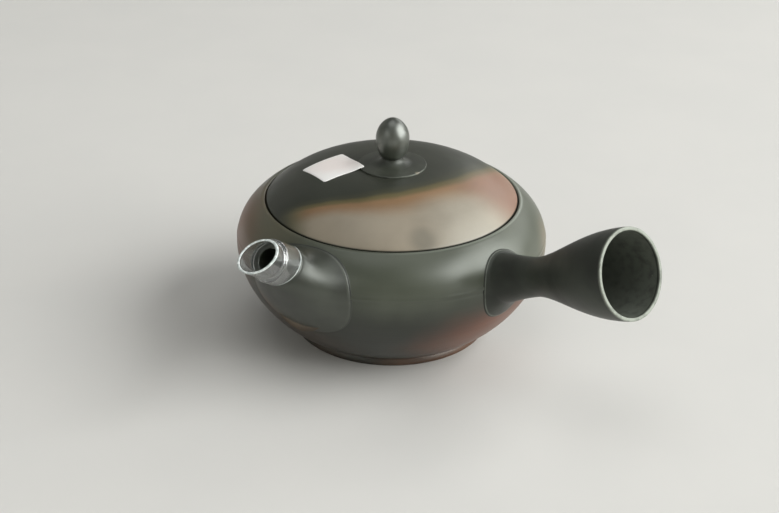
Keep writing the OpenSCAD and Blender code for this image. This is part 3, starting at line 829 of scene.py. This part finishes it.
def boreBowl():
    length, radius = waterWay["to"] - waterWay["from"], waterWay["radius"] * mm
    work = bmesh.new()
    bmesh.ops.create_cone(work, cap_ends=True, segments=waterWay["segments"], radius1=radius, radius2=radius,
                          depth=length * mm)
    work.transform(pointedToSpout(waterWay["from"] + length / 2, waterWay["level"]))
    drill = bpy.data.objects.new("drill", bpy.data.meshes.new("drill"))
    work.to_mesh(drill.data)
    work.free()
    scene.collection.objects.link(drill)
    cut = bowlBody.modifiers.new("bore", "BOOLEAN")
    cut.object = drill
    cut.operation = "DIFFERENCE"
    cut.solver = "EXACT"
    settle(bowlBody)
    bpy.data.objects.remove(drill)


boreBowl()
keep(bowlBody, "pot", "clay", "body_shell")

# the clay strainer: a thin dome on the inner wall with a honeycomb of holes
strainer = {
    "ball": 17.0, "reach": 65.0, "level": 31.0, "wall": 1.8, "rimAt": 53.4, "rings": 3, "pitch": 2.8,
    "hole": 0.9, "segments": 96,
}


def makeStrainer():
    material = makePlainClay("strainerClay", paint(66, 58, 48), paint(98, 82, 66), grain=0.6)
    cap = strainer["reach"] - strainer["rimAt"]
    ball, shell = strainer["ball"], strainer["ball"] - strainer["wall"]
    outer = [(ball * sin(a), -ball * cos(a)) for a in np.linspace(0, acos(cap / ball), 26)]
    inner = [(shell * sin(a), -shell * cos(a)) for a in np.linspace(acos(cap / shell), 0, 24)]
    dome = turn("strainerDome", outer + inner, material, strainer["segments"])
    runTree(dome, sieveHoles, {
        "Rings": strainer["rings"], "Hole Pitch": strainer["pitch"] * mm, "Depth": 3 * ball * mm,
        "Hole Radius": strainer["hole"] * mm, "Finish": material})
    dome.data.transform(pointedToSpout(strainer["reach"], strainer["level"]))
    return dome


keep(makeStrainer(), "pot", "inner_clay", "strainer")

# the lid: a low dome with a flange that drops into the mouth
lid = {
    "radius": 45.1, "edge": 2.2, "edgeRound": 0.7, "lowRound": 0.3, "domeRise": 12.0, "fullness": 3.6,
    "flatRadius": 12.5, "thickness": 4.4, "segments": 224,
    "throwing": {"depth": 0.03, "pitch": 2.2, "seed": 9}, "flangeOuter": 42.0, "flangeInner": 39.0,
    "flangeDrop": 6.4, "flangeTaper": 0.2, "flangeLap": 0.6, "flangeInnerRound": 0.8,
    "flangeOuterRound": 0.9, "flangeSegments": 160, "flashCentre": (-18.8, 30.5, 0), "flashStart": 51.6,
    "flashEnd": (62.5, 69.6), "narrowing": (-24.0, 6.0),
    "shades": (  # from smoke to bare colour
        (0.0, paint(41, 43, 35)), (0.2, paint(52, 52, 38)), (0.36, paint(90, 81, 50)),
        (0.52, paint(128, 100, 70)), (1.0, paint(141, 131, 114))),
    "olive": paint(92, 89, 64),
    "clouds": (  # centre, reach, tint, strength, and whether the patch keeps to the bare part
        ((40, -2, 56), (19, 17, 24), paint(126, 88, 70), 0.8, True),
        # painted reflection: the pale silver patch at the front right stands in for the window's reflection
        # on the dome
        ((29, -31, 54), (16, 12, 20), paint(158, 153, 140), 0.55, True),
        ((10.5, -41, 52), (4.5, 3.6, 9), paint(98, 94, 82), 0.6, True),
        ((-4, 34, 58), (34, 12, 12), paint(38, 39, 33), 0.5, False)),
}
lidEdgeLevel = ledgeLevel + lid["edge"]


def makeLidClay():
    material, shader, place = newMaterial("lidClay")
    x, _, height = split(place)
    drift = minus(noise(place, 0.05, 4.0), 0.5)
    # the fire drew a wide arc across the lid: smoke inside it, bare colour outside
    _, reach = aroundAxis(vectorCalc("SUBTRACT", place, lid["flashCentre"]))
    reach = plus(reach, times(drift, 4.0))
    bandEnd = ease(x, *lid["narrowing"], *lid["flashEnd"])  # the band narrows towards the spout
    flash = put("ShaderNodeMapRange", Value=reach, From_Min=lid["flashStart"], From_Max=bandEnd).outputs[0]
    stops = put("ShaderNodeValToRGB", Fac=flash)
    bar = stops.color_ramp
    bar.interpolation = "EASE"
    for position, shade in lid["shades"]:
        ends = {0.0: 0, 1.0: -1}
        stop = bar.elements[ends[position]] if position in ends else bar.elements.new(position)
        stop.position = position
        stop.color = shade
    # towards the spout the bare colour fades through olive back to smoke
    across = plus(x, times(drift, 6.0))
    olive = times(ease(across, -40.0, -30.0), ease(flash, 0.1, 0.5))
    faded = blend(olive, lid["shades"][0][1], lid["olive"])
    colour = blend(ease(across, -36.0, -26.0), faded, stops.outputs[0])
    bare = ease(flash, 0.25, 0.65)
    for centre, spread, tint, strength, onBare in lid["clouds"]:
        mask = cloudOn(place, centre, spread)
        colour = stain(colour, times(mask, bare) if onBare else mask, strength, tint)
    # painted shade: the lid's side, down in the gap round the lid, is given the dark soot colour
    side = ease(height, lidEdgeLevel - 0.3, lidEdgeLevel + 0.2, 1.0, 0.0)
    colour = blend(side, colour, clay["sootAndShade"])
    finishClay(shader, place, colour, pitch=1.0, depth=0.45)
    return material


def domeLevel(r):
    share = np.clip(r, lid["flatRadius"], lid["radius"]) / lid["radius"]
    return lidEdgeLevel + lid["domeRise"] * (1 - share ** lid["fullness"])


lidTop = float(domeLevel(0))


def lidProfile():
    out, inner = lid["radius"], lid["flangeInner"]
    radii = lid["flatRadius"] + (out - 0.8 - lid["flatRadius"]) * np.linspace(0, 1, 70)
    top = [(0, lidTop)] + [(r, float(domeLevel(r))) for r in radii]
    rim = softened([top[-1], (out, lidEdgeLevel, lid["edgeRound"]), (out, ledgeLevel, lid["lowRound"]),
                    (inner, ledgeLevel)])
    hollowRise = lidTop - lid["thickness"] - ledgeLevel
    under = [(inner * k, ledgeLevel + hollowRise * (1 - k ** lid["fullness"]))
             for k in np.linspace(1, 0, 40)]
    return top[:-1] + rim[:-1] + under


def flangeProfile():
    out, inner, low = lid["flangeOuter"], lid["flangeInner"], ledgeLevel - lid["flangeDrop"]
    lap = (inner, ledgeLevel + lid["flangeLap"])
    return softened([
        lap, (inner, low, lid["flangeInnerRound"]), (out - lid["flangeTaper"], low, lid["flangeOuterRound"]),
        (out, ledgeLevel + 0.2), (inner + 1, lap[1]), lap])


keep(turn("lidPlate", lidProfile(), makeLidClay(), lid["segments"], **lid["throwing"]),
     "lid", "flashed_clay", "lid_plate")
flangeClay = makePlainClay("flangeClay", paint(70, 62, 52), paint(104, 88, 72), grain=0.5)
keep(turn("lidFlange", flangeProfile(), flangeClay, lid["flangeSegments"]),
     "lid", "inner_clay", "lid_flange")

# the knob on its round seat
knob = {
    "seatRadius": 12.2, "seatEdge": 0.55, "seatRound": 0.35, "seatSlope": 0.25, "seatLap": 0.3,
    "flareWidth": 4.4, "flareRise": 2.35, "footRadius": 3.75, "footLip": 0.4, "footLap": 0.2,
    "neckRadius": 3.5, "radius": 5.95, "lower": 7.25, "upper": 7.55, "point": 1.14, "seatSegments": 128,
    "segments": 96, "dark": paint(39, 41, 35), "light": paint(54, 57, 49), "chip": paint(138, 130, 114),
    "chipTurn": -42, "chipReach": (1.2, 1.0, 0.6),
}
flareOut = knob["footRadius"] + knob["flareWidth"]
knobLevel = lidTop + knob["seatEdge"] + knob["seatSlope"] + knob["flareRise"]


def makeKnobClay(name, finish):
    material, shader, place = newMaterial(name)
    edge, chipTurn = knob["seatRadius"], radians(knob["chipTurn"])
    colour = blend(ease(noise(place, 0.08), 0.35, 0.65), knob["dark"], knob["light"])
    flat, radius = aroundAxis(place)
    # painted highlight: the seat's rim is painted pale towards the chip, on the lit side
    rubbedSheen = times(ease(radius, edge - 0.3, edge - 0.1),
                   ease(towards(flat, knob["chipTurn"]), 0.1 * edge, 0.8 * edge))
    patchy = ease(noise(place, 0.35), 0.3, 0.65, 0.04, 0.22)
    colour = stain(colour, rubbedSheen, patchy, clay["pale"])
    chipPlace = (edge * cos(chipTurn), edge * sin(chipTurn), lidTop + knob["seatEdge"])
    chip = cloudOn(place, chipPlace, knob["chipReach"], 0.3, 0.6)
    colour = stain(colour, chip, 0.6, knob["chip"])
    finishClay(shader, place, colour, finish, pitch=0.9)
    return material


def seatLevel(r):  # a thin disc that sweeps up to the knob's foot like a trumpet
    disc = np.clip((knob["seatRadius"] - r) / (knob["seatRadius"] - flareOut), 0, 1)
    inward = 1 - np.clip((r - knob["footRadius"]) / knob["flareWidth"], 0, 1)
    sweep = knob["flareRise"] * (1 - np.sqrt(1 - inward ** 2))
    return lidTop + knob["seatEdge"] + knob["seatSlope"] * disc + sweep


def seatProfile():
    edge, low = knob["seatRadius"], lidTop - knob["seatLap"]
    seat = [(0, low), (edge, low), (edge, lidTop + knob["seatEdge"], knob["seatRound"])]
    radii = list(np.linspace(edge - 0.4, flareOut, 8))
    radii += [knob["footRadius"] + knob["flareWidth"] * (1 - sin(a)) for a in np.linspace(0, pi / 2, 22)[1:]]
    return softened(seat + [(r, float(seatLevel(r))) for r in radii]) + [(0, knobLevel)]


def knobProfile():
    neck, wide, middle = knob["neckRadius"], knob["radius"], knobLevel + knob["lower"]
    low = knobLevel - knob["footLap"]
    path = [(0, low), (knob["footRadius"], low)]
    path += [(neck + (wide - neck) * cos(a), middle - (knob["lower"] - knob["footLip"]) * sin(a))
             for a in np.linspace(pi / 2, 0, 24)]
    path += [(wide * max(cos(a), 0) ** knob["point"], middle + knob["upper"] * sin(a))
             for a in np.linspace(0, pi / 2, 28)[1:]]
    return path


seatClay, knobClay = makeKnobClay("seatClay", "satin"), makeKnobClay("knobClay", "polished")
knobSeat = turn("knobSeat", seatProfile(), seatClay, knob["seatSegments"])
knobEgg = turn("knobEgg", knobProfile(), knobClay, knob["segments"])
keep(knobSeat, "lid", "flashed_clay", "knob_seat")
keep(knobEgg, "lid", "flashed_clay", "knob")

# a blank square label on the dome
label = {
    "side": 16.5, "corner": 0.9, "reach": 21.0, "turn": 183, "tilt": 31.5, "thickness": 0.16, "lift": 0.06,
    "climb": 5.0, "rings": 20, "inmost": 0.04, "edgeIn": 0.997, "upperEdge": 0.05, "lowerEdge": 0.03,
    "white": paint(252, 251, 247), "blush": paint(247, 224, 216), "fibre": paint(200, 195, 186),
    "washPlace": (-20, 0, 60), "washReach": (8, 7, 20), "wash": 0.35,
}


def makePaper():
    material, shader, place = newMaterial("labelPaper")
    wash = cloudOn(place, label["washPlace"], label["washReach"], 0.7, 1.6)
    colour = stain(label["white"], wash, label["wash"], label["blush"])
    stretched = put("ShaderNodeMapping", Vector=place, Scale=(1, 5, 1)).outputs[0]
    fibre = noise(stretched, 1.2, 5.0, 0.7)
    colour = blend(ease(fibre, 0.3, 0.7, 0.0, 0.08), colour, label["fibre"])
    feed(shader, Base_Color=colour, Roughness=ease(fibre, 0.3, 0.7, 0.45, 0.6),
         Normal=bumped(fibre, 0.00005, 0.4))
    return material


def labelOutline():
    corners = np.array([(1, 1), (-1, 1), (-1, -1), (1, -1)]) * (label["side"] / 2 - label["corner"])
    outline = []
    for quarter in range(4):
        arc = np.linspace(0, pi / 2, 9) + quarter * pi / 2
        rounded = corners[quarter] + label["corner"] * np.stack([np.cos(arc), np.sin(arc)], -1)
        side = corners[(quarter + 1) % 4] - corners[quarter]
        outline += [rounded, rounded[-1] + side * np.linspace(0, 1, 12)[1:-1, None]]
    return np.concatenate(outline)


def makeLabel():
    outline = labelOutline()
    tilt, turned = radians(label["tilt"]), radians(label["turn"])
    spin = np.array([[cos(tilt), -sin(tilt)], [sin(tilt), cos(tilt)]])
    middle = label["reach"] * np.array([cos(turned), sin(turned)])
    climbFrom = knob["seatRadius"] + label["climb"]

    def laid(share, lift):
        flat = outline * share @ spin.T + middle
        r = np.hypot(flat[:, 0], flat[:, 1])
        # the corner rides up onto the knob's seat
        climb = np.clip((climbFrom - r) / label["climb"], 0, 1) ** 2
        step = seatLevel(np.minimum(r, knob["seatRadius"])) - lidTop
        return np.column_stack([flat, domeLevel(r) + step * climb + lift])

    shares = np.linspace(label["inmost"], 1, label["rings"])[:-1]
    low, edgeIn = label["lift"], label["edgeIn"]
    top = low + label["thickness"]
    rings = [laid(k, top) for k in shares] + [laid(edgeIn, top), laid(1.0, top - label["upperEdge"])]
    rings += [laid(1.0, low + label["lowerEdge"]), laid(edgeIn, low)] + [laid(k, low) for k in shares[::-1]]
    return ringPiece("labelSheet", rings, makePaper(), capped=True)


keep(makeLabel(), "lid", "paper", "label")

# the clear sleeve over the spout's tip, cut on a slant
cover = {
    "gap": 0.25, "wall": 0.8, "noseRadius": 6.6, "noseReach": 14.4, "slant": 30, "cutEdge": 0.25,
    "cutBand": 0.35, "cutRound": 0.07, "neck": 0.8, "shoulderRound": 0.8, "neckRound": 0.6,
    "stopRound": (0.2, 0.3), "sides": 144, "bend": 1.46, "tint": (0.96, 0.985, 0.975, 1.0),
    "cutDark": paint(196, 206, 202), "cutLight": paint(240, 246, 243),
}


def makeClearPlastic():
    material, shader, place = newMaterial("clearPlastic")
    haze = ease(noise(place, 0.35), 0.35, 0.75, 0.02, 0.07)
    shader.inputs["IOR"].default_value = cover["bend"]
    feed(shader, Base_Color=cover["tint"], Transmission_Weight=0.97, Roughness=haze, Coat_Weight=1.0,
         Coat_Roughness=0.04, Coat_IOR=1.8, Normal=bumped(noise(place, 0.4, 2.0), 0.0001, 0.06))
    return material


def makeCloudedGlowEdge():  # where the plastic was cut it is cloudy white, and the white is also a painted highlight for the light the cut edges catch
    material, shader, place = newMaterial("cloudedGlowEdge")
    streaks = noise(place, 0.9)
    colour = blend(ease(streaks, 0.3, 0.7), cover["cutDark"], cover["cutLight"])
    shader.inputs["IOR"].default_value = cover["bend"]
    feed(shader, Base_Color=colour, Transmission_Weight=0.2, Roughness=ease(streaks, 0.3, 0.7, 0.15, 0.3))
    return material


def makeCover():
    gap, wall, edge, tuck = cover["gap"], cover["wall"], cover["cutEdge"], cover["cutRound"]
    sleeve, stop = spout["tipRadius"] + gap, spout["tipLength"] + gap
    sleeveOut, nose, noseIn = sleeve + wall, cover["noseRadius"], cover["noseRadius"] - wall
    shoulder = stop + wall
    noseStart = shoulder + cover["neck"]
    angles = np.arange(cover["sides"]) * tau / cover["sides"]
    lean = np.tan(radians(cover["slant"]))

    def noseEnd(radius, share, back):  # the slanted end: longer below, shorter above
        end = cover["noseReach"] - radius * np.cos(angles) * lean - back
        return tipRing((noseStart + (end - noseStart) * share)[:, None], radius, angles)

    base = softened([(sleeve, 3.0), (sleeve, gap, edge), (sleeveOut, gap, edge), (sleeveOut, 3.0)])
    rings = [leaningRing(s, r, angles) for r, s in base[1:-1]]
    rings.append(leaningRing(gap + edge + cover["cutBand"], sleeveOut, angles))
    cutRings = set(range(len(rings) - 1))
    outside = softened([(sleeveOut, 3.2), (sleeveOut, stop - 0.1, cover["shoulderRound"]),
                        (nose, shoulder, cover["neckRound"]), (nose, noseStart)])
    rings += [tipRing(s, r, angles) for r, s in outside]
    rings += [noseEnd(nose, k, edge + cover["cutBand"]) for k in np.linspace(0.1, 1, 10)]
    cutRings |= set(range(len(rings) - 1, len(rings) + 5))
    rings += [noseEnd(radius, 1, back) for radius, back in (
        (nose, edge), (nose - tuck, tuck), (nose - edge, 0), (noseIn + edge, 0), (noseIn + tuck, tuck))]
    rings += [noseEnd(noseIn, k, edge) for k in np.linspace(1, 0, 10)]
    inner, outer = cover["stopRound"]
    inside = softened([(noseIn, stop + 0.9), (noseIn, stop, inner), (sleeve, stop, outer), (sleeve, 3.2)])
    rings += [tipRing(s, r, angles) for r, s in inside]
    return ringPiece("spoutSleeve", rings, makeClearPlastic(), None, makeCloudedGlowEdge(), cutRings)


keep(makeCover(), "cover", "clear_plastic", "spout_cover")

# stage: a pale floor that sweeps up all round, and soft lamps; these are in metres
stage = {
    "floor": 2.8, "sweep": 1.2, "height": 3.0, "inner": 0.4, "segments": 96, "colour": paint(214, 213, 208),
    "fleck": paint(206, 206, 202),
}
lamps = [  # name, place, aim, width, height, watts
    ("window", (1.98, -0.486, 1.15), (0.0, 0.0, 0.05), 2.52, 2.16, 94.0),
    ("side", (1.68, 1.9, 1.16), (0.0, 0.0, 0.05), 2.66, 1.05, 14.7),
    ("ceiling", (-0.1, -0.05, 1.3), (0.0, 0.0, 0.04), 1.0, 1.0, 3.0),
    ("bounce", (-0.7, -0.7, 0.5), (0.0, 0.0, 0.05), 0.6, 0.6, 0.8),
]
sky = {"colour": (0.95, 0.97, 1.0, 1.0), "strength": 0.16}


def makeStage():
    wide, sweep = stage["floor"], stage["sweep"]
    path = [(0.0, 0.0), (stage["inner"], 0.0), (wide, 0.0)]
    path += [(wide + sweep * sin(a), sweep * (1 - cos(a))) for a in np.linspace(0, pi / 2, 16)[1:]]
    path.append((wide + sweep, stage["height"]))
    material, shader, place = newMaterial("paleFloor")
    flecks = ease(noise(place, 0.02), 0.3, 0.7, 0.0, 0.25)
    feed(shader, Base_Color=blend(flecks, stage["colour"], stage["fleck"]), Roughness=0.9,
         Specular_IOR_Level=0.1)
    piece = turn("floor", [(r / mm, z / mm) for r, z in path], material, stage["segments"])
    bpy.context.view_layer.update()
    if piece.data.polygons[0].normal.z < 0:
        piece.data.flip_normals()


def makeLamps():
    for name, place, aim, width, height, watts in lamps:
        data = bpy.data.lights.new(name, "AREA")
        data.shape = "RECTANGLE"
        data.size = width
        data.size_y = height
        data.energy = watts
        lamp = bpy.data.objects.new(name, data)
        lamp.location = place
        lamp.rotation_euler = (Vector(aim) - Vector(place)).to_track_quat("-Z", "Y").to_euler()
        scene.collection.objects.link(lamp)
    world = bpy.data.worlds.new("studio")
    scene.world = world
    world.use_nodes = True
    background = next(node for node in world.node_tree.nodes if node.type == "BACKGROUND")
    feed(background, Color=sky["colour"], Strength=sky["strength"])


makeStage()
makeLamps()
scene.view_settings.view_transform = "Standard"
print("stage and lamps set")
